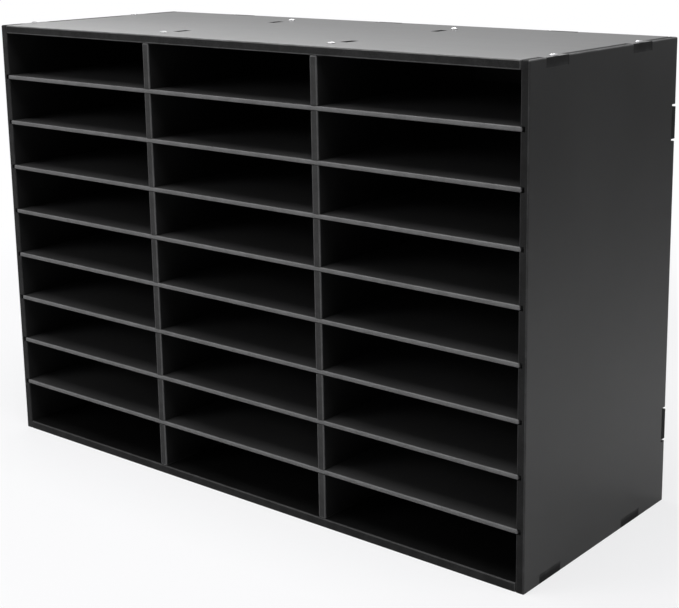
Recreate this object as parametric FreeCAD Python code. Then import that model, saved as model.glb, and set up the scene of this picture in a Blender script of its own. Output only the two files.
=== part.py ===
import FreeCAD, Part
import os

# An open-fronted sorter of flat boards: a case, two upright dividers and eight
# shelves that slide in from the front and cross the dividers at half depth.
# Millimetres. X runs to the viewer's right, Y from the front to the back and Z up.
# The origin is on the surface that the case stands on, under its middle.

# Overall size of the case, without the screw heads on top
overall_width = 800.0
overall_depth = 299.0
overall_height = 542.0

# Board thicknesses
case_board = 10.0
back_board = 8.0
shelf_board = 5.0

# Layout of the compartments
row_count = 9
middle_column = 250.0

# Rounding of the boards' edges
case_edge_radius = 1.5
shelf_edge_radius = 1.2

# Grooves in the sides, and the room left in them beyond the shelves' ends
groove_depth = 5.5
shelf_end_gap = 3.5

# Clearances of a shelf: above and below it, beside a divider, at the end of a
# crossing notch and in front of the back panel
shelf_fit = 0.3
crossing_fit = 0.4
crossing_end_fit = 0.5
shelf_back_gap = 0.5

# Clearance at the ends of a tab in its notch or slot
tab_fit = 0.3

# Tabs of the top and bottom in the sides, placed from the front and rear faces
side_tab_length = 40.0
side_tab_from_front = 30.0
side_tab_from_rear = 59.0

# Tabs of the dividers in the top and bottom, which stop short of the outer faces
divider_tab_length = 20.0
divider_tab_from_front = 50.0
divider_tab_from_rear = 64.0
divider_tab_recess = 1.0

# Tabs of the back panel, and the room left open at both ends of each
back_tab_length = 36.0
back_tab_relief = 2.8
back_tab_spacing = 256.0
back_tab_inset = 94.5

# Screws
thread_diameter = 4.0
screw_length = 38.0
screw_tip = 4.0
screw_fit = 0.05
pan_head_diameter = 8.6
pan_head_height = 2.3
pan_head_rim = 0.8
flat_head_diameter = 8.0
flat_head_rim = 0.3
recess_width = 1.1
recess_length = 4.6
recess_depth = 1.2
divider_screw_from_front = 30.0
divider_screw_from_rear = 44.0

# How far a cut reaches past the surface that it opens, and a tab into its board
overrun = 1.0
tab_root = 3.0

# Planes of the case, worked out from the sizes above
half_width = overall_width / 2
inner_half = half_width - case_board
front = -overall_depth / 2
rear = overall_depth / 2
back_front = rear - back_board
floor_top = case_board
ceiling = overall_height - case_board

# Rows of compartments
shelf_count = row_count - 1
row_clear = (ceiling - floor_top - shelf_count * shelf_board) / row_count
row_pitch = row_clear + shelf_board

# The shelves, and where they cross the dividers
shelf_half_length = inner_half + groove_depth - shelf_end_gap
shelf_rear = back_front - shelf_back_gap
crossing = (front + shelf_rear) / 2
divider_offset = (middle_column + case_board) / 2


def centred(middle, length):
    """The low and high end of a length laid about its middle."""
    return (middle - length / 2, middle + length / 2)


def widened(span, margin):
    """A span with the same margin added at both ends."""
    return (min(span) - margin, max(span) + margin)


def block(x_span, y_span, z_span):
    """A rectangular block that fills three spans."""
    corner = FreeCAD.Vector(min(x_span), min(y_span), min(z_span))
    width = max(x_span) - min(x_span)
    depth = max(y_span) - min(y_span)
    height = max(z_span) - min(z_span)
    return Part.makeBox(width, depth, height, corner)


def eased_board(x_span, y_span, z_span, radius):
    """A board with all its edges rounded by the same small radius."""
    board = block(x_span, y_span, z_span)
    return board.makeFillet(radius, board.Edges)


def cylinder(place, radius, z_span):
    """An upright cylinder at a place given as X and Y."""
    base = FreeCAD.Vector(place[0], place[1], min(z_span))
    return Part.makeCylinder(radius, max(z_span) - min(z_span), base)


def shelf_span(index):
    """Underside and top of a shelf, counted from 1 at the bottom."""
    top = floor_top + index * row_pitch
    return (top - shelf_board, top)


def all_shelf_spans():
    return [shelf_span(index) for index in range(1, row_count)]


def side_tab_spans():
    """Front and rear ends of the two tabs on each side of the top and bottom."""
    front_middle = front + side_tab_from_front + side_tab_length / 2
    rear_middle = rear - side_tab_from_rear - side_tab_length / 2
    return [centred(middle, side_tab_length) for middle in (front_middle, rear_middle)]


def divider_tab_spans():
    """Front and rear ends of the two tabs on each end of a divider."""
    front_middle = front + divider_tab_from_front + divider_tab_length / 2
    rear_middle = rear - divider_tab_from_rear - divider_tab_length / 2
    return [centred(middle, divider_tab_length) for middle in (front_middle, rear_middle)]


def back_tabs_across():
    """Middles of the back panel's tabs in the top and bottom."""
    return (-back_tab_spacing, 0.0, back_tab_spacing)


def back_tabs_upright():
    """Middles of the back panel's tabs in the sides."""
    return (back_tab_inset, overall_height - back_tab_inset)


def back_notch_length():
    return back_tab_length + 2 * back_tab_relief


def side_screw_places():
    """Screws stand in the middle of the side tabs and of the sides' thickness."""
    across = half_width - case_board / 2
    depths = [(start + end) / 2 for start, end in side_tab_spans()]
    return [(sign * across, depth) for sign in (-1, 1) for depth in depths]


def divider_screw_places():
    """Screws stand in the middle of each divider, outside its two tabs."""
    depths = (front + divider_screw_from_front, rear - divider_screw_from_rear)
    return [(sign * divider_offset, depth) for sign in (-1, 1) for depth in depths]


def screw_holes():
    """Holes for every thread, down from the top face and up from the bottom face."""
    radius = thread_diameter / 2 + screw_fit
    holes = []
    for place in side_screw_places() + divider_screw_places():
        above = (overall_height - screw_length, overall_height + overrun)
        below = (-overrun, screw_length)
        holes.append(cylinder(place, radius, above))
        holes.append(cylinder(place, radius, below))
    return holes


def side_tab_notches(x_span):
    """Notches in a side's upper and lower edges for the top's and bottom's tabs."""
    notches = []
    for tab in side_tab_spans():
        y_span = widened(tab, tab_fit)
        notches.append(block(x_span, y_span, (ceiling, overall_height + overrun)))
        notches.append(block(x_span, y_span, (-overrun, floor_top)))
    return notches


def back_tab_notches(x_span):
    """Notches in a side's rear edge for the back panel's tabs."""
    y_span = (back_front - tab_fit, rear + overrun)
    middles = back_tabs_upright()
    return [block(x_span, y_span, centred(middle, back_notch_length())) for middle in middles]


def shelf_grooves(sign):
    """Grooves in a side's inner face, open at the front, for the shelves' ends."""
    x_span = (sign * (inner_half - overrun), sign * (inner_half + groove_depth))
    y_span = (front - overrun, back_front)
    return [block(x_span, y_span, widened(span, shelf_fit)) for span in all_shelf_spans()]


def side_panel(sign):
    """A side: -1 is the left one and 1 the right one."""
    x_span = (sign * inner_half, sign * half_width)
    panel = eased_board(x_span, (front, rear), (0.0, overall_height), case_edge_radius)
    through = widened(x_span, overrun)
    cuts = side_tab_notches(through) + back_tab_notches(through)
    cuts += shelf_grooves(sign) + screw_holes()
    return panel.cut(cuts)


def level_panel(z_span):
    """The top or the bottom: a board with side tabs, divider slots and back notches."""
    panel = eased_board((-inner_half, inner_half), (front, rear), z_span, case_edge_radius)
    tabs = []
    for tab in side_tab_spans():
        for sign in (-1, 1):
            x_span = (sign * (inner_half - tab_root), sign * half_width)
            tabs.append(block(x_span, tab, z_span))
    through = widened(z_span, overrun)
    cuts = screw_holes()
    for tab in divider_tab_spans():
        for sign in (-1, 1):
            x_span = widened(centred(sign * divider_offset, case_board), tab_fit)
            cuts.append(block(x_span, widened(tab, tab_fit), through))
    for middle in back_tabs_across():
        x_span = centred(middle, back_notch_length())
        cuts.append(block(x_span, (back_front - tab_fit, rear + overrun), through))
    return panel.fuse(tabs).cut(cuts)


def bottom_panel():
    """The bottom also has a countersink for every screw head."""
    sink = turned_over(flat_head(screw_fit, overrun))
    sinks = [placed(sink, place, 0.0) for place in side_screw_places() + divider_screw_places()]
    return level_panel((0.0, floor_top)).cut(sinks)


def back_panel():
    """The back closes the case between the other boards, with tabs on all four edges."""
    y_span = (back_front, rear)
    panel = eased_board((-inner_half, inner_half), y_span, (floor_top, ceiling),
                        case_edge_radius)
    tabs = []
    for middle in back_tabs_upright():
        z_span = centred(middle, back_tab_length)
        for sign in (-1, 1):
            x_span = (sign * (inner_half - tab_root), sign * half_width)
            tabs.append(block(x_span, y_span, z_span))
    for middle in back_tabs_across():
        x_span = centred(middle, back_tab_length)
        tabs.append(block(x_span, y_span, (ceiling - tab_root, overall_height)))
        tabs.append(block(x_span, y_span, (0.0, floor_top + tab_root)))
    return panel.fuse(tabs)


def divider(sign):
    """An upright between two columns, notched from the front at every shelf."""
    x_span = centred(sign * divider_offset, case_board)
    board = eased_board(x_span, (front, back_front), (floor_top, ceiling), case_edge_radius)
    tabs = []
    for tab in divider_tab_spans():
        upper = (ceiling - tab_root, overall_height - divider_tab_recess)
        lower = (divider_tab_recess, floor_top + tab_root)
        tabs.append(block(x_span, tab, upper))
        tabs.append(block(x_span, tab, lower))
    cuts = screw_holes()
    y_span = (front - overrun, crossing + crossing_end_fit)
    for span in all_shelf_spans():
        cuts.append(block(widened(x_span, overrun), y_span, widened(span, shelf_fit)))
    return board.fuse(tabs).cut(cuts)


def shelf(index):
    """A shelf, notched from the rear where it crosses the dividers."""
    z_span = shelf_span(index)
    board = eased_board((-shelf_half_length, shelf_half_length), (front, shelf_rear), z_span,
                        shelf_edge_radius)
    cuts = []
    for sign in (-1, 1):
        x_span = widened(centred(sign * divider_offset, case_board), crossing_fit)
        cuts.append(block(x_span, (crossing, shelf_rear + overrun), widened(z_span, overrun)))
    return board.cut(cuts)


def shank(top):
    """A screw's thread and point, from a height under its head down."""
    radius = thread_diameter / 2
    thread_end = screw_tip - screw_length
    point = Part.makeCone(0, radius, screw_tip, FreeCAD.Vector(0, 0, -screw_length))
    return cylinder((0, 0), radius, (thread_end, top)).fuse(point)


def cross_recess(top):
    """The cross that a screwdriver turns, cut down from the top of a head."""
    z_span = (top - recess_depth, top + overrun)
    long_span = centred(0.0, recess_length)
    narrow_span = centred(0.0, recess_width)
    return block(long_span, narrow_span, z_span).fuse(block(narrow_span, long_span, z_span))


def pan_screw():
    """A round-headed screw, with the underside of its head at height 0."""
    radius = pan_head_diameter / 2
    rise = pan_head_height - pan_head_rim
    dome_radius = (radius ** 2 + rise ** 2) / (2 * rise)
    dome = Part.makeSphere(dome_radius, FreeCAD.Vector(0, 0, pan_head_height - dome_radius))
    head = cylinder((0, 0), radius, (0.0, pan_head_height)).common(dome)
    return head.fuse(shank(0.0)).cut(cross_recess(pan_head_height))


def flat_head(margin, reach):
    """A countersunk head below height 0, made larger by a margin, with its rim
    carried up by a reach."""
    thread_radius = thread_diameter / 2 + margin
    head_radius = flat_head_diameter / 2 + margin
    cone_height = head_radius - thread_radius
    cone_end = -flat_head_rim - cone_height
    cone = Part.makeCone(thread_radius, head_radius, cone_height,
                         FreeCAD.Vector(0, 0, cone_end))
    return cone.fuse(cylinder((0, 0), head_radius, (-flat_head_rim, reach)))


def flat_screw():
    """A countersunk screw, with the flat of its head at height 0."""
    return flat_head(0.0, 0.0).fuse(shank(-flat_head_rim)).cut(cross_recess(0.0))


def turned_over(shape):
    """A copy turned upside down about height 0."""
    copy = shape.copy()
    copy.rotate(FreeCAD.Vector(0, 0, 0), FreeCAD.Vector(1, 0, 0), 180)
    return copy


def placed(shape, place, height):
    """A copy moved to a place given as X and Y, and to a height."""
    copy = shape.copy()
    copy.translate(FreeCAD.Vector(place[0], place[1], height))
    return copy


def screw_set(screw, places, height):
    """The same screw at several places, as separate solids."""
    return Part.makeCompound([placed(screw, place, height) for place in places])


def build_parts():
    """Every sub-part by its node name."""
    upper_screw = pan_screw()
    lower_screw = turned_over(flat_screw())
    parts = {
        "left_side": side_panel(-1),
        "right_side": side_panel(1),
        "top_panel": level_panel((ceiling, overall_height)),
        "bottom_panel": bottom_panel(),
        "back_panel": back_panel(),
        "left_divider": divider(-1),
        "right_divider": divider(1),
        "top_side_screws": screw_set(upper_screw, side_screw_places(), overall_height),
        "top_divider_screws": screw_set(upper_screw, divider_screw_places(), overall_height),
        "bottom_side_screws": screw_set(lower_screw, side_screw_places(), 0.0),
        "bottom_divider_screws": screw_set(lower_screw, divider_screw_places(), 0.0),
    }
    for index in range(1, row_count):
        parts[f"shelf_{index}"] = shelf(index)
    return parts


os.makedirs("parts", exist_ok=True)
for name, shape in build_parts().items():
    finished = shape.removeSplitter()
    finished.exportStep(f"parts/{name}.step")
    volume = round(finished.Volume / 1000, 2)
    print(name, len(finished.Solids), "solids", volume, "cm3", "valid", finished.isValid())
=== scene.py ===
import math

import bmesh
import bpy
from mathutils import Matrix, Vector


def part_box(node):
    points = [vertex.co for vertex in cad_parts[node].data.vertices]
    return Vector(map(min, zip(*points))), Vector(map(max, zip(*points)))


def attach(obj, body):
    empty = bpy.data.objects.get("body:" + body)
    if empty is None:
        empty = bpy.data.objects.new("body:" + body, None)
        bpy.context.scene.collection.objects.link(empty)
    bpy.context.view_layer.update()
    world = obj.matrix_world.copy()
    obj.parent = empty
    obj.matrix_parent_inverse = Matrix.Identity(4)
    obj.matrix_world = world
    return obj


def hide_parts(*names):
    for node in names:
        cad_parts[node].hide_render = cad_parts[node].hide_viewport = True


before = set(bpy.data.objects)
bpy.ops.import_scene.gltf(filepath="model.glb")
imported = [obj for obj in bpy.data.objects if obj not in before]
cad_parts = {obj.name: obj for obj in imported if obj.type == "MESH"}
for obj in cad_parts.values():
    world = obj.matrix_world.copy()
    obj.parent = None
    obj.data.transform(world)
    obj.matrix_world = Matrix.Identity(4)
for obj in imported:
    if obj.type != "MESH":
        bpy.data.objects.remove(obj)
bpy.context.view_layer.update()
mm = 0.001


noiseMiddle = 0.5  # a noise runs from 0 to 1
blueShare = 1.01  # the greys are a hair bluish


# a Wire is one socket of a material; sums and products of wires add Math nodes
class Wire:
    def __init__(self, tree, socket=None):
        self.tree = tree
        self.socket = socket

    def node(self, kind, settings, values, output=0):
        made = self.tree.nodes.new(kind)
        for key, value in settings.items():
            setattr(made, key, value)
        for key, value in values.items():
            if isinstance(value, Wire):
                self.tree.links.new(value.socket, made.inputs[key])
            else:
                made.inputs[key].default_value = value
        return Wire(self.tree, made.outputs[output] if made.outputs else None)

    def maths(self, operation, first, second):
        return self.node("ShaderNodeMath", {"operation": operation}, {0: first, 1: second})

    def __add__(self, other):
        return self.maths("ADD", self, other)

    def __radd__(self, other):
        return self.maths("ADD", other, self)

    def __sub__(self, other):
        return self.maths("SUBTRACT", self, other)

    def __rsub__(self, other):
        return self.maths("SUBTRACT", other, self)

    def __mul__(self, other):
        return self.maths("MULTIPLY", self, other)

    def __rmul__(self, other):
        return self.maths("MULTIPLY", other, self)

    def above(self, low, high):  # 0 up to low, 1 from high, smooth between
        return self.node("ShaderNodeMapRange", {"interpolation_type": "SMOOTHSTEP"},
                         {"Value": self, "From Min": low, "From Max": high})

    def colours(self, first, second):  # this wire is the share of the second
        # 6, 7 and 2 are the Mix node's sockets for colours
        return self.node("ShaderNodeMix", {"data_type": "RGBA"},
                         {"Factor": self, 6: first, 7: second}, 2)

    def noise(self, scale, detail, stretch=(1, 1, 1)):
        place = self.node("ShaderNodeTexCoord", {}, {}, "Object")
        place = self.node("ShaderNodeMapping", {}, {"Vector": place, "Scale": stretch})
        return self.node("ShaderNodeTexNoise", {}, {"Vector": place, "Scale": scale,
                                                    "Detail": detail})

    def swing(self, amount):  # a noise, as a change to either side of nothing
        return (self - noiseMiddle) * amount

    def bumped(self, strength, height):
        return self.node("ShaderNodeBump", {}, {"Height": self, "Strength": strength,
                                                "Distance": height * mm})


def newMaterial(name):
    material = bpy.data.materials.new(name)
    material.use_nodes = True
    material.node_tree.nodes.clear()
    return material, Wire(material.node_tree)


def principled(wire, values):
    surface = wire.node("ShaderNodeBsdfPrincipled", {}, values)
    wire.node("ShaderNodeOutputMaterial", {}, {"Surface": surface})


def grey(level):
    return (level, level, level * blueShare, 1)


# the smooth faces of the boards: a satin black foil with a fine pebble, clouds and wipe marks
foilLook = {
    "dark": 0.016, "light": 0.024, "roughness": 0.31, "cloudRough": 0.06, "wipeRough": 0.03,
    "pebbleSize": 1400, "cloudSize": 6, "wipeSize": 14, "wipeStretch": (1, 7, 1),
    "pebbleDetail": 2, "cloudDetail": 3, "wipeDetail": 4, "cloudSpan": (0.3, 0.7),
    "bump": 0.5, "bumpHeight": 0.06, "specular": 0.5,
}


def makeFoil(name, look):
    material, wire = newMaterial(name)
    pebble = wire.noise(look["pebbleSize"], look["pebbleDetail"])
    cloud = wire.noise(look["cloudSize"], look["cloudDetail"])
    wipe = wire.noise(look["wipeSize"], look["wipeDetail"], look["wipeStretch"])
    share = cloud.above(*look["cloudSpan"])
    principled(wire, {
        "Base Color": share.colours(grey(look["dark"]), grey(look["light"])),
        "Roughness": look["roughness"] + cloud.swing(look["cloudRough"])
        + wipe.swing(look["wipeRough"]),
        "Normal": pebble.bumped(look["bump"], look["bumpHeight"]),
        "Specular IOR Level": look["specular"],
    })
    return material


# sawn edges: dyed fibre board, matt, with a fleck; on the eased arrises the colour is lighter,
# part dye rubbed thin and part painted highlight
caseEdgeLook = {
    "dark": 0.013, "light": 0.03, "roughness": 0.8, "patchRough": 0.15,
    "fibreSize": 900, "patchSize": 70, "fibreDetail": 5, "patchDetail": 3,
    "fibreShare": 0.5, "fleckSpan": (0.35, 0.65),
    "bump": 0.4, "bumpHeight": 0.08, "specular": 0.15,
}
# the arrises are coloured lighter than the sawn edges: rubbed dye and painted highlight
caseArrisLook = dict(caseEdgeLook, dark=0.03, light=0.085, roughness=0.45, bump=0.2, specular=0.4)
# tab ends are coloured paler than the other sawn edges: painted light
tabEndLook = dict(caseEdgeLook, dark=0.02, light=0.042)
# fade is where a tab's end is paler and where it no longer is, in millimetres from outside; the
# paler part is painted light
topTabLook = dict(tabEndLook, outside=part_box("right_side")[1].z, fade=(-9.5, -5), paintedLightFactor=1.6)
footTabLook = dict(tabEndLook, outside=0, fade=(9.5, 5), paintedLightFactor=2.4)
# the tab ends in the slots are painted darker: painted shade of the recess
slotEndLook = dict(caseEdgeLook, dark=0.008, light=0.016, specular=0.0)
# the sides' arrises are a darker copy: a weaker painted highlight
sideArrisLook = dict(caseArrisLook, dark=0.015, light=0.04, roughness=0.7, specular=0.15)
uprightArrisLook = dict(caseArrisLook, dark=0.022, light=0.055, roughness=0.5, specular=0.3)
# the bottom's arrises are a darker copy: a weaker painted highlight
footArrisLook = dict(caseArrisLook, dark=0.012, light=0.034, specular=0.3)
# the left side's sawn edges are painted lighter and the right side's darker: painted light and
# shade
leftEdgeLook = dict(caseEdgeLook, dark=0.017, light=0.037)
rightEdgeLook = dict(caseEdgeLook, dark=0.01, light=0.022)
dividerEdgeLook = dict(caseEdgeLook, dark=0.04, light=0.065)
# the dividers' arrises are lighter than their edges: rubbed dye and painted highlight
dividerArrisLook = dict(caseArrisLook, dark=0.075, light=0.12)
shelfEdgeLook = dict(caseEdgeLook, dark=0.14, light=0.19, roughness=0.6, bump=0.25, specular=0.3)
shelfArrisLook = dict(shelfEdgeLook, dark=0.13, light=0.18, roughness=0.45, bump=0.15)


def makeEdge(name, look):
    material, wire = newMaterial(name)
    fibre = wire.noise(look["fibreSize"], look["fibreDetail"])
    patch = wire.noise(look["patchSize"], look["patchDetail"])
    fleck = fibre * look["fibreShare"] + patch * (1 - look["fibreShare"])
    share = fleck.above(*look["fleckSpan"])
    colour = share.colours(grey(look["dark"]), grey(look["light"]))
    if "fade" in look:  # a tab's end is painted paler towards the case's inside: painted light
        inner, outer = (look["outside"] + depth * mm for depth in look["fade"])
        paintedLightFactor = look["paintedLightFactor"]
        place = wire.node("ShaderNodeTexCoord", {}, {}, "Object")
        height = wire.node("ShaderNodeSeparateXYZ", {}, {"Vector": place}, "Z")
        pale = share.colours(grey(look["dark"] * paintedLightFactor), grey(look["light"] * paintedLightFactor))
        colour = height.above(inner, outer).colours(pale, colour)
    principled(wire, {
        "Base Color": colour,
        "Roughness": look["roughness"] + patch.swing(look["patchRough"]),
        "Normal": fibre.bumped(look["bump"], look["bumpHeight"]),
        "Specular IOR Level": look["specular"],
    })
    return material


# bright zinc of the screws
zincLook = {"dark": 0.45, "light": 0.6, "roughness": 0.3, "smearRough": 0.1,
            "crystalSize": 2600, "smearSize": 600, "crystalDetail": 3, "smearDetail": 2,
            "bump": 0.15, "bumpHeight": 0.02}


def makeZinc(name, look):
    material, wire = newMaterial(name)
    crystal = wire.noise(look["crystalSize"], look["crystalDetail"])
    smear = wire.noise(look["smearSize"], look["smearDetail"])
    principled(wire, {
        "Base Color": crystal.colours(grey(look["dark"]), grey(look["light"])),
        "Roughness": look["roughness"] + smear.swing(look["smearRough"]),
        "Normal": crystal.bumped(look["bump"], look["bumpHeight"]),
        "Metallic": 1.0,
    })
    return material


caseFoil = makeFoil("satinCaseFoil", foilLook)
# the foil on the outer arrises is lighter than on the faces: worn foil and painted highlight
wornAndHighlitFoil = makeFoil("wornAndHighlitFoilArris", dict(foilLook, dark=0.03, light=0.09, cloudSize=60,
                                          roughness=0.34))
shelfFoil = makeFoil("satinShelfFoil", dict(foilLook, dark=0.027, light=0.037, roughness=0.4,
                                            wipeStretch=(7, 1, 1)))
caseEdge = makeEdge("mattCaseEdge", caseEdgeLook)
levelFinish = {"face": caseFoil, "edge": caseEdge, "tab": makeEdge("topTabEndPaintedLight", topTabLook),
               "arris": makeEdge("rubbedAndHighlitCaseArris", caseArrisLook), "outside": wornAndHighlitFoil,
               "upright": makeEdge("mattUprightArris", uprightArrisLook)}
# the bottom board's foil is painted much darker than the case's: painted shade on the compartment
# floors
footFoil = makeFoil("paintedShadeFootFoil", dict(foilLook, dark=0.004, light=0.007, roughness=0.35,
                                         specular=0.3))
footFinish = dict(levelFinish, face=footFoil, tab=makeEdge("footTabEndPaintedLight", footTabLook),
                  arris=makeEdge("dimHighlitFootArris", footArrisLook))
rearFinish = dict(levelFinish, tab=makeEdge("paintedLightTabEnd", tabEndLook))
sideArris = makeEdge("dimHighlitSideArris", sideArrisLook)
leftFinish = dict(levelFinish, edge=makeEdge("mattLeftEdgePaintedLight", leftEdgeLook), arris=sideArris)
rightFinish = dict(levelFinish, edge=makeEdge("mattRightEdgePaintedShade", rightEdgeLook), arris=sideArris)
dividerFinish = dict(levelFinish, edge=makeEdge("mattDividerEdge", dividerEdgeLook),
                     tab=makeEdge("paintedShadeSlotEnd", slotEndLook),
                     arris=makeEdge("rubbedAndHighlitDividerArris", dividerArrisLook))
shelfFinish = {"face": shelfFoil, "edge": makeEdge("paleShelfEdge", shelfEdgeLook),
               "arris": makeEdge("rubbedShelfArris", shelfArrisLook)}
zinc = makeZinc("brightZinc", zincLook)
print("finishes made")


# a board is an eased blank; its tabs are joined on, and notches, slots and grooves are sawn out
levelBoard = {"ease": 1.5, "easeSteps": 3, "cutEase": 0.2, "cutSteps": 2, "footCut": 0,
              "slot": "case_board", "finish": levelFinish}
footBoard = dict(levelBoard, footCut=3, finish=footFinish)  # square where it stands
leftBoard = dict(footBoard, finish=leftFinish)
rightBoard = dict(footBoard, finish=rightFinish)
# the back is eased less, so that no light shows beside its tabs
rearBoard = dict(levelBoard, ease=0.6, easeSteps=2, finish=rearFinish)
dividerBoard = dict(levelBoard, finish=dividerFinish)
shelfBoard = dict(levelBoard, ease=1.2, slot="shelf_board", finish=shelfFinish)
sawing = {
    "past": 2, "root": 3, "wide": 1000,  # how far cuts, tabs and the foot's cut reach
    "weld": 0.004, "hair": 0.01,  # what counts as one point or one plane
    "flat": 0.5, "sharp": 50,  # degrees between faces that become one, and that are eased
    "square": 0.999, "upright": 0.1,  # parts of a face's normal
}


def addBox(bm, low, high):
    verts = bmesh.ops.create_cube(bm, size=1)["verts"]
    low, high = Vector(low), Vector(high)
    bmesh.ops.scale(bm, vec=high - low, verts=verts)
    bmesh.ops.translate(bm, vec=(low + high) / 2, verts=verts)


def addSink(bm, place, look):  # a countersink from below
    depth = (look["topZ"] - look["lowZ"]) * mm
    verts = bmesh.ops.create_cone(bm, cap_ends=True, segments=look["steps"], depth=depth,
                                  radius1=look["lowRadius"] * mm,
                                  radius2=look["topRadius"] * mm)["verts"]
    bmesh.ops.translate(bm, vec=(place[0], place[1], look["lowZ"] * mm + depth / 2), verts=verts)


def meshObject(name, bm):
    mesh = bpy.data.meshes.new(name)
    bm.to_mesh(mesh)
    bm.free()
    thing = bpy.data.objects.new(name, mesh)
    bpy.context.scene.collection.objects.link(thing)
    return thing


def combine(thing, tool, operation):
    joint = thing.modifiers.new("joint", "BOOLEAN")
    joint.operation = operation
    joint.solver = "EXACT"
    joint.use_self = True
    joint.object = tool
    view = bpy.context.evaluated_depsgraph_get()
    mesh = bpy.data.meshes.new_from_object(thing.evaluated_get(view))
    thing.modifiers.clear()
    thing.data = mesh
    bpy.data.objects.remove(tool)


def easedBlank(name, low, high, look):
    bm = bmesh.new()
    addBox(bm, low, high)
    bmesh.ops.bevel(bm, geom=bm.edges, offset=look["ease"] * mm, segments=look["easeSteps"],
                    profile=0.5, affect="EDGES", material=-1)
    return meshObject(name, bm)


def partOf(face, low, high, thin, outer):  # low and high are the corners of the board's blank
    hair = sawing["hair"] * mm
    place = face.calc_center_median()
    if max(abs(part) for part in face.normal) < sawing["square"]:
        if outer * (place[thin] - (low[thin] + high[thin]) / 2) <= 0:
            return "arris"
        return "outside" if abs(face.normal.z) > sawing["upright"] else "upright"
    if min(abs(place[thin] - low[thin]), abs(place[thin] - high[thin])) < hair:
        return "face"
    inside = all(low[axis] - hair < place[axis] < high[axis] + hair for axis in range(3))
    return "edge" if inside else "tab"


def dressBoard(board, low, high, thin, outer, look):
    # each part has its own finish: a smooth face, a sawn edge, a tab's end, an arris, and on
    # the case's outside an arris where the foil goes round and an upright one
    finish = look["finish"]
    slots = list(dict.fromkeys(finish.values()))
    bm = bmesh.new()
    bm.from_mesh(board.data)
    bmesh.ops.remove_doubles(bm, verts=bm.verts, dist=sawing["weld"] * mm)
    bmesh.ops.dissolve_limit(bm, angle_limit=math.radians(sawing["flat"]), verts=bm.verts,
                             edges=bm.edges)
    for face in bm.faces:
        face.smooth = True
        face.material_index = slots.index(finish[partOf(face, low, high, thin, outer)])
    board.data.materials.clear()  # before the faces are written, because it resets their slots
    for material in slots:
        board.data.materials.append(material)
    bm.to_mesh(board.data)
    bm.free()
    bevel = board.modifiers.new("cutEdges", "BEVEL")
    bevel.limit_method = "ANGLE"
    bevel.angle_limit = math.radians(sawing["sharp"])
    bevel.width = look["cutEase"] * mm
    bevel.segments = look["cutSteps"]
    bevel.use_clamp_overlap = False
    board.modifiers.new("flatFaces", "WEIGHTED_NORMAL").keep_sharp = True


def makeBoard(name, node, body, thin, outer, blank, tabs, cuts, look, sinks=()):
    low, high = blank
    foot = look["footCut"] * mm
    board = easedBlank(name, (low[0], low[1], low[2] - foot), high, look)
    if tabs:
        bm = bmesh.new()
        for tab in tabs:
            addBox(bm, *tab)
        combine(board, meshObject("tabs", bm), "UNION")
    bm = bmesh.new()
    for cut in cuts:
        addBox(bm, *cut)
    if foot:
        wide = sawing["wide"] * mm
        addBox(bm, (-wide, -wide, -2 * foot), (wide, wide, 0))
    for place in sinks:
        addSink(bm, place, sinkLook)
    combine(board, meshObject("cuts", bm), "DIFFERENCE")
    dressBoard(board, low, high, thin, outer, look)
    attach(board, body)
    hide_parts(node)


# places of the joinery, in millimetres
joinery = {
    "sideTabs": ((30, 70), (200, 240)),  # back from the front
    "dividerTabs": ((50, 70), (215, 235)), "dividerOffset": 130,
    "backTab": 36, "backNotch": 41.6, "backSpacing": 256, "backInset": 94.5,
    "tabFit": 0.3, "shelfFit": 0.3, "grooveDepth": 5.5, "crossingFit": 0.4, "crossingEnd": 0.5,
    "sideScrews": (395, 50, 220), "dividerScrews": (130, 30, 255),  # across, then back
}
sinkLook = {"lowZ": -0.5, "topZ": 2.05, "lowRadius": 4.55, "topRadius": 2.0, "steps": 40}

sideLow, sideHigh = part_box("right_side")
backLow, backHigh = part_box("back_panel")
front, rear = sideLow.y, sideHigh.y
innerX, outerX = sideLow.x, sideHigh.x
boardThick = outerX - innerX
top = sideHigh.z
ceiling = top - boardThick
past, root = sawing["past"] * mm, sawing["root"] * mm
tabFit = joinery["tabFit"] * mm
shelfNodes = sorted(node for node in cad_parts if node.startswith("shelf_"))
shelfBoxes = [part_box(node) for node in shelfNodes]
crossing = (front + shelfBoxes[0][1].y) / 2
dividerX = joinery["dividerOffset"] * mm
backHeights = (joinery["backInset"] * mm, top - joinery["backInset"] * mm)
backAcross = [step * joinery["backSpacing"] * mm for step in (-1, 0, 1)]


def span(middle, length):
    return middle - length / 2, middle + length / 2


def tabSpans(key, fit=0.0):
    return [(front + start * mm - fit, front + end * mm + fit) for start, end in joinery[key]]


def corners(x, y, z):  # low and high corners from three spans, each in either order
    spans = [sorted(part) for part in (x, y, z)]
    return [part[0] for part in spans], [part[1] for part in spans]


def screwPlaces(key):
    across, *depths = joinery[key]
    return [(sign * across * mm, front + depth * mm) for sign in (-1, 1) for depth in depths]


def makeSide(sign, name, node, look):
    low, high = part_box(node)
    through = (low.x - past, high.x + past)
    cuts = []
    for y in tabSpans("sideTabs", tabFit):
        cuts.append(corners(through, y, (ceiling, top + past)))
        cuts.append(corners(through, y, (-past, boardThick)))
    for height in backHeights:
        cuts.append(corners(through, (backLow.y - tabFit, rear + past),
                            span(height, joinery["backNotch"] * mm)))
    fit = joinery["shelfFit"] * mm
    groove = (sign * (innerX - past), sign * (innerX + joinery["grooveDepth"] * mm))
    for shelfLow, shelfHigh in shelfBoxes:
        cuts.append(corners(groove, (front - past, backLow.y),
                            (shelfLow.z - fit, shelfHigh.z + fit)))
    makeBoard(name, node, "case", 0, sign, (low, high), [], cuts, look)


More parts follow.
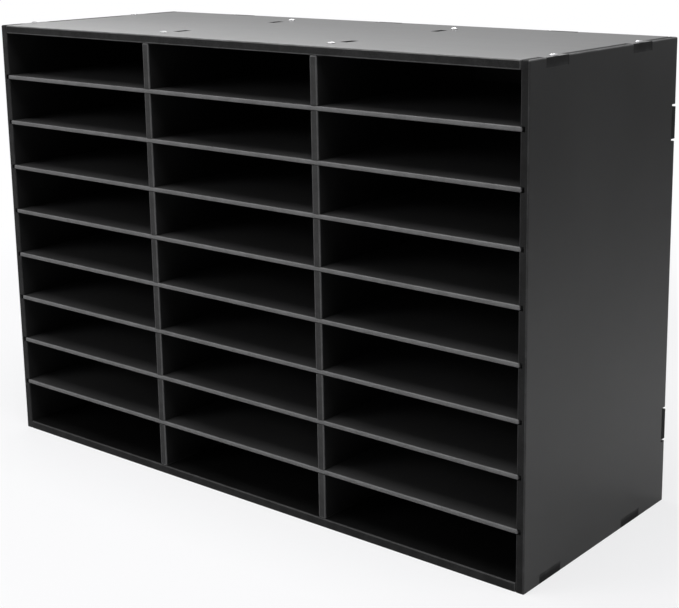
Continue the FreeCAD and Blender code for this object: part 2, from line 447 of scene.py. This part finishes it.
def makeLevel(name, node, outer, look, sinks=()):
    low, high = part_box(node)
    thick = (low.z, high.z)
    through = (low.z - past, high.z + past)
    tabs = [corners((sign * (innerX - root), sign * outerX), y, thick)
            for y in tabSpans("sideTabs") for sign in (-1, 1)]
    cuts = [corners(span(sign * dividerX, boardThick + 2 * tabFit), y, through)
            for y in tabSpans("dividerTabs", tabFit) for sign in (-1, 1)]
    cuts += [corners(span(middle, joinery["backNotch"] * mm),
                     (backLow.y - tabFit, rear + past), through) for middle in backAcross]
    blank = corners((-innerX, innerX), (front, rear), thick)
    makeBoard(name, node, "case", 2, outer, blank, tabs, cuts, look, sinks)


def makeBack(name, node):
    thick = (backLow.y, backHigh.y)
    long = joinery["backTab"] * mm
    tabs = [corners((sign * (innerX - root), sign * outerX), thick, span(height, long))
            for height in backHeights for sign in (-1, 1)]
    for middle in backAcross:
        tabs.append(corners(span(middle, long), thick, (ceiling - root, top)))
        tabs.append(corners(span(middle, long), thick, (0, boardThick + root)))
    blank = corners((-innerX, innerX), thick, (boardThick, ceiling))
    makeBoard(name, node, "case", 1, 1, blank, tabs, [], rearBoard)


def makeDivider(name, node):
    low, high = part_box(node)
    thick = (low.x, high.x)
    tabs = []
    for y in tabSpans("dividerTabs"):
        tabs.append(corners(thick, y, (ceiling - root, high.z)))
        tabs.append(corners(thick, y, (low.z, boardThick + root)))
    fit = joinery["shelfFit"] * mm
    depth = (front - past, crossing + joinery["crossingEnd"] * mm)
    cuts = [corners((low.x - past, high.x + past), depth, (shelfLow.z - fit, shelfHigh.z + fit))
            for shelfLow, shelfHigh in shelfBoxes]
    blank = corners(thick, (low.y, high.y), (boardThick, ceiling))
    makeBoard(name, node, "case", 0, 0, blank, tabs, cuts, dividerBoard)


def makeShelf(name, node):
    low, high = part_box(node)
    wide = boardThick + 2 * joinery["crossingFit"] * mm
    cuts = [corners(span(sign * dividerX, wide), (crossing, high.y + past),
                    (low.z - past, high.z + past)) for sign in (-1, 1)]
    makeBoard(name, node, node, 2, 0, (low, high), [], cuts, shelfBoard)


makeSide(-1, "leftSideBoard", "left_side", leftBoard)
makeSide(1, "rightSideBoard", "right_side", rightBoard)
makeLevel("topBoard", "top_panel", 1, levelBoard)
makeLevel("bottomBoard", "bottom_panel", -1, footBoard,
          screwPlaces("sideScrews") + screwPlaces("dividerScrews"))
makeBack("backBoard", "back_panel")
makeDivider("leftDividerBoard", "left_divider")
makeDivider("rightDividerBoard", "right_divider")
for node in shelfNodes:
    makeShelf("shelfBoard" + node[-1], node)
print("boards made")

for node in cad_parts:
    if node.endswith("screws"):
        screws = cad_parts[node]
        screws.data.materials.clear()
        screws.data.materials.append(zinc)
print("screws finished")


# studio: a pale floor that shows white, a white backdrop, one big soft lamp, a fill and
# a thin strip low behind the object, which skims its top
floorLook = {"size": 12, "colour": 0.8, "bounce": 0.4, "whiteNear": 0.72, "whiteFar": 1.0,
             "near": 0.45, "far": 1.6}
backdropLook = {"light": 0.1, "seen": 1.0, "mirrored": 0.72}
lamps = {
    "overhead": {"place": (0.2, -0.5, 2.4), "aim": (0.2, -0.5, 0), "wide": 2.6, "tall": 1.6,
                 "power": 66},
    "front": {"place": (-1.8, -2.6, 1.4), "aim": (0, 0, 0.25), "wide": 1.6, "tall": 1.0,
              "power": 25},
    "rear": {"place": (-0.45, 0.28, 0.84), "aim": (-0.45, -0.2, 0.54), "wide": 1.4, "tall": 0.12,
             "power": 2.7},
}


def makeFloor():
    bm = bmesh.new()
    bmesh.ops.create_grid(bm, x_segments=1, y_segments=1, size=floorLook["size"])
    floor = meshObject("floor", bm)
    material, wire = newMaterial("paleFloor")
    seen = wire.node("ShaderNodeLightPath", {}, {}, "Is Camera Ray")
    mirrored = wire.node("ShaderNodeLightPath", {}, {}, "Is Glossy Ray")
    direct = seen + mirrored
    colour = direct.colours(grey(floorLook["bounce"]), grey(floorLook["colour"]))
    plain = wire.node("ShaderNodeBsdfDiffuse", {}, {"Color": colour})
    white = wire.node("ShaderNodeEmission", {}, {"Color": grey(1.0), "Strength": 1.0})
    place = wire.node("ShaderNodeTexCoord", {}, {}, "Object")
    away = wire.node("ShaderNodeVectorMath", {"operation": "LENGTH"}, {0: place}, "Value")
    rise = away.above(floorLook["near"], floorLook["far"])
    share = floorLook["whiteNear"] + rise * (floorLook["whiteFar"] - floorLook["whiteNear"])
    mixed = wire.node("ShaderNodeMixShader", {}, {0: seen * share, 1: plain, 2: white})
    wire.node("ShaderNodeOutputMaterial", {}, {"Surface": mixed})
    floor.data.materials.append(material)


def makeBackdrop():
    world = bpy.data.worlds.new("studio")
    bpy.context.scene.world = world
    world.use_nodes = True
    world.node_tree.nodes.clear()
    wire = Wire(world.node_tree)
    seen = wire.node("ShaderNodeLightPath", {}, {}, "Is Camera Ray")
    mirrored = wire.node("ShaderNodeLightPath", {}, {}, "Is Glossy Ray")
    strength = backdropLook["light"] + seen * (backdropLook["seen"] - backdropLook["light"]) \
        + mirrored * (backdropLook["mirrored"] - backdropLook["light"])
    light = wire.node("ShaderNodeBackground", {}, {"Color": grey(1.0), "Strength": strength})
    wire.node("ShaderNodeOutputWorld", {}, {"Surface": light})


def addLamp(name, look):
    lamp = bpy.data.lights.new(name, "AREA")
    lamp.shape = "RECTANGLE"
    lamp.size = look["wide"]
    lamp.size_y = look["tall"]
    lamp.energy = look["power"]
    thing = bpy.data.objects.new(name, lamp)
    thing.location = look["place"]
    aim = Vector(look["aim"]) - Vector(look["place"])
    thing.rotation_euler = aim.to_track_quat("-Z", "Y").to_euler()
    thing.visible_camera = False  # only its light shows
    bpy.context.scene.collection.objects.link(thing)


makeFloor()
makeBackdrop()
for name, look in lamps.items():
    addLamp(name, look)

camera = {
    "place": (1.11033, -1.25877, 0.67676), "azimuth": 38.415, "elevation": 12.144,
    "roll": -0.528, "lens": 74.43, "shiftX": -0.07306, "shiftY": -0.12992, "sensor": 36,
    "near": 0.05, "far": 60,
}


def makeCamera():
    data = bpy.data.cameras.new("camera")
    data.lens = camera["lens"]
    data.sensor_width = camera["sensor"]
    data.shift_x = camera["shiftX"]
    data.shift_y = camera["shiftY"]
    data.clip_start = camera["near"]
    data.clip_end = camera["far"]
    thing = bpy.data.objects.new("camera", data)
    azimuth = math.radians(camera["azimuth"])
    fromDown = math.radians(90 - camera["elevation"])  # an unturned camera looks down
    roll = math.radians(camera["roll"])
    thing.matrix_world = Matrix.Translation(camera["place"]) \
        @ Matrix.Rotation(azimuth, 4, "Z") @ Matrix.Rotation(fromDown, 4, "X") \
        @ Matrix.Rotation(roll, 4, "Z")
    bpy.context.scene.collection.objects.link(thing)
    bpy.context.scene.camera = thing


makeCamera()
bpy.context.scene.view_settings.view_transform = "Standard"
print("studio set")
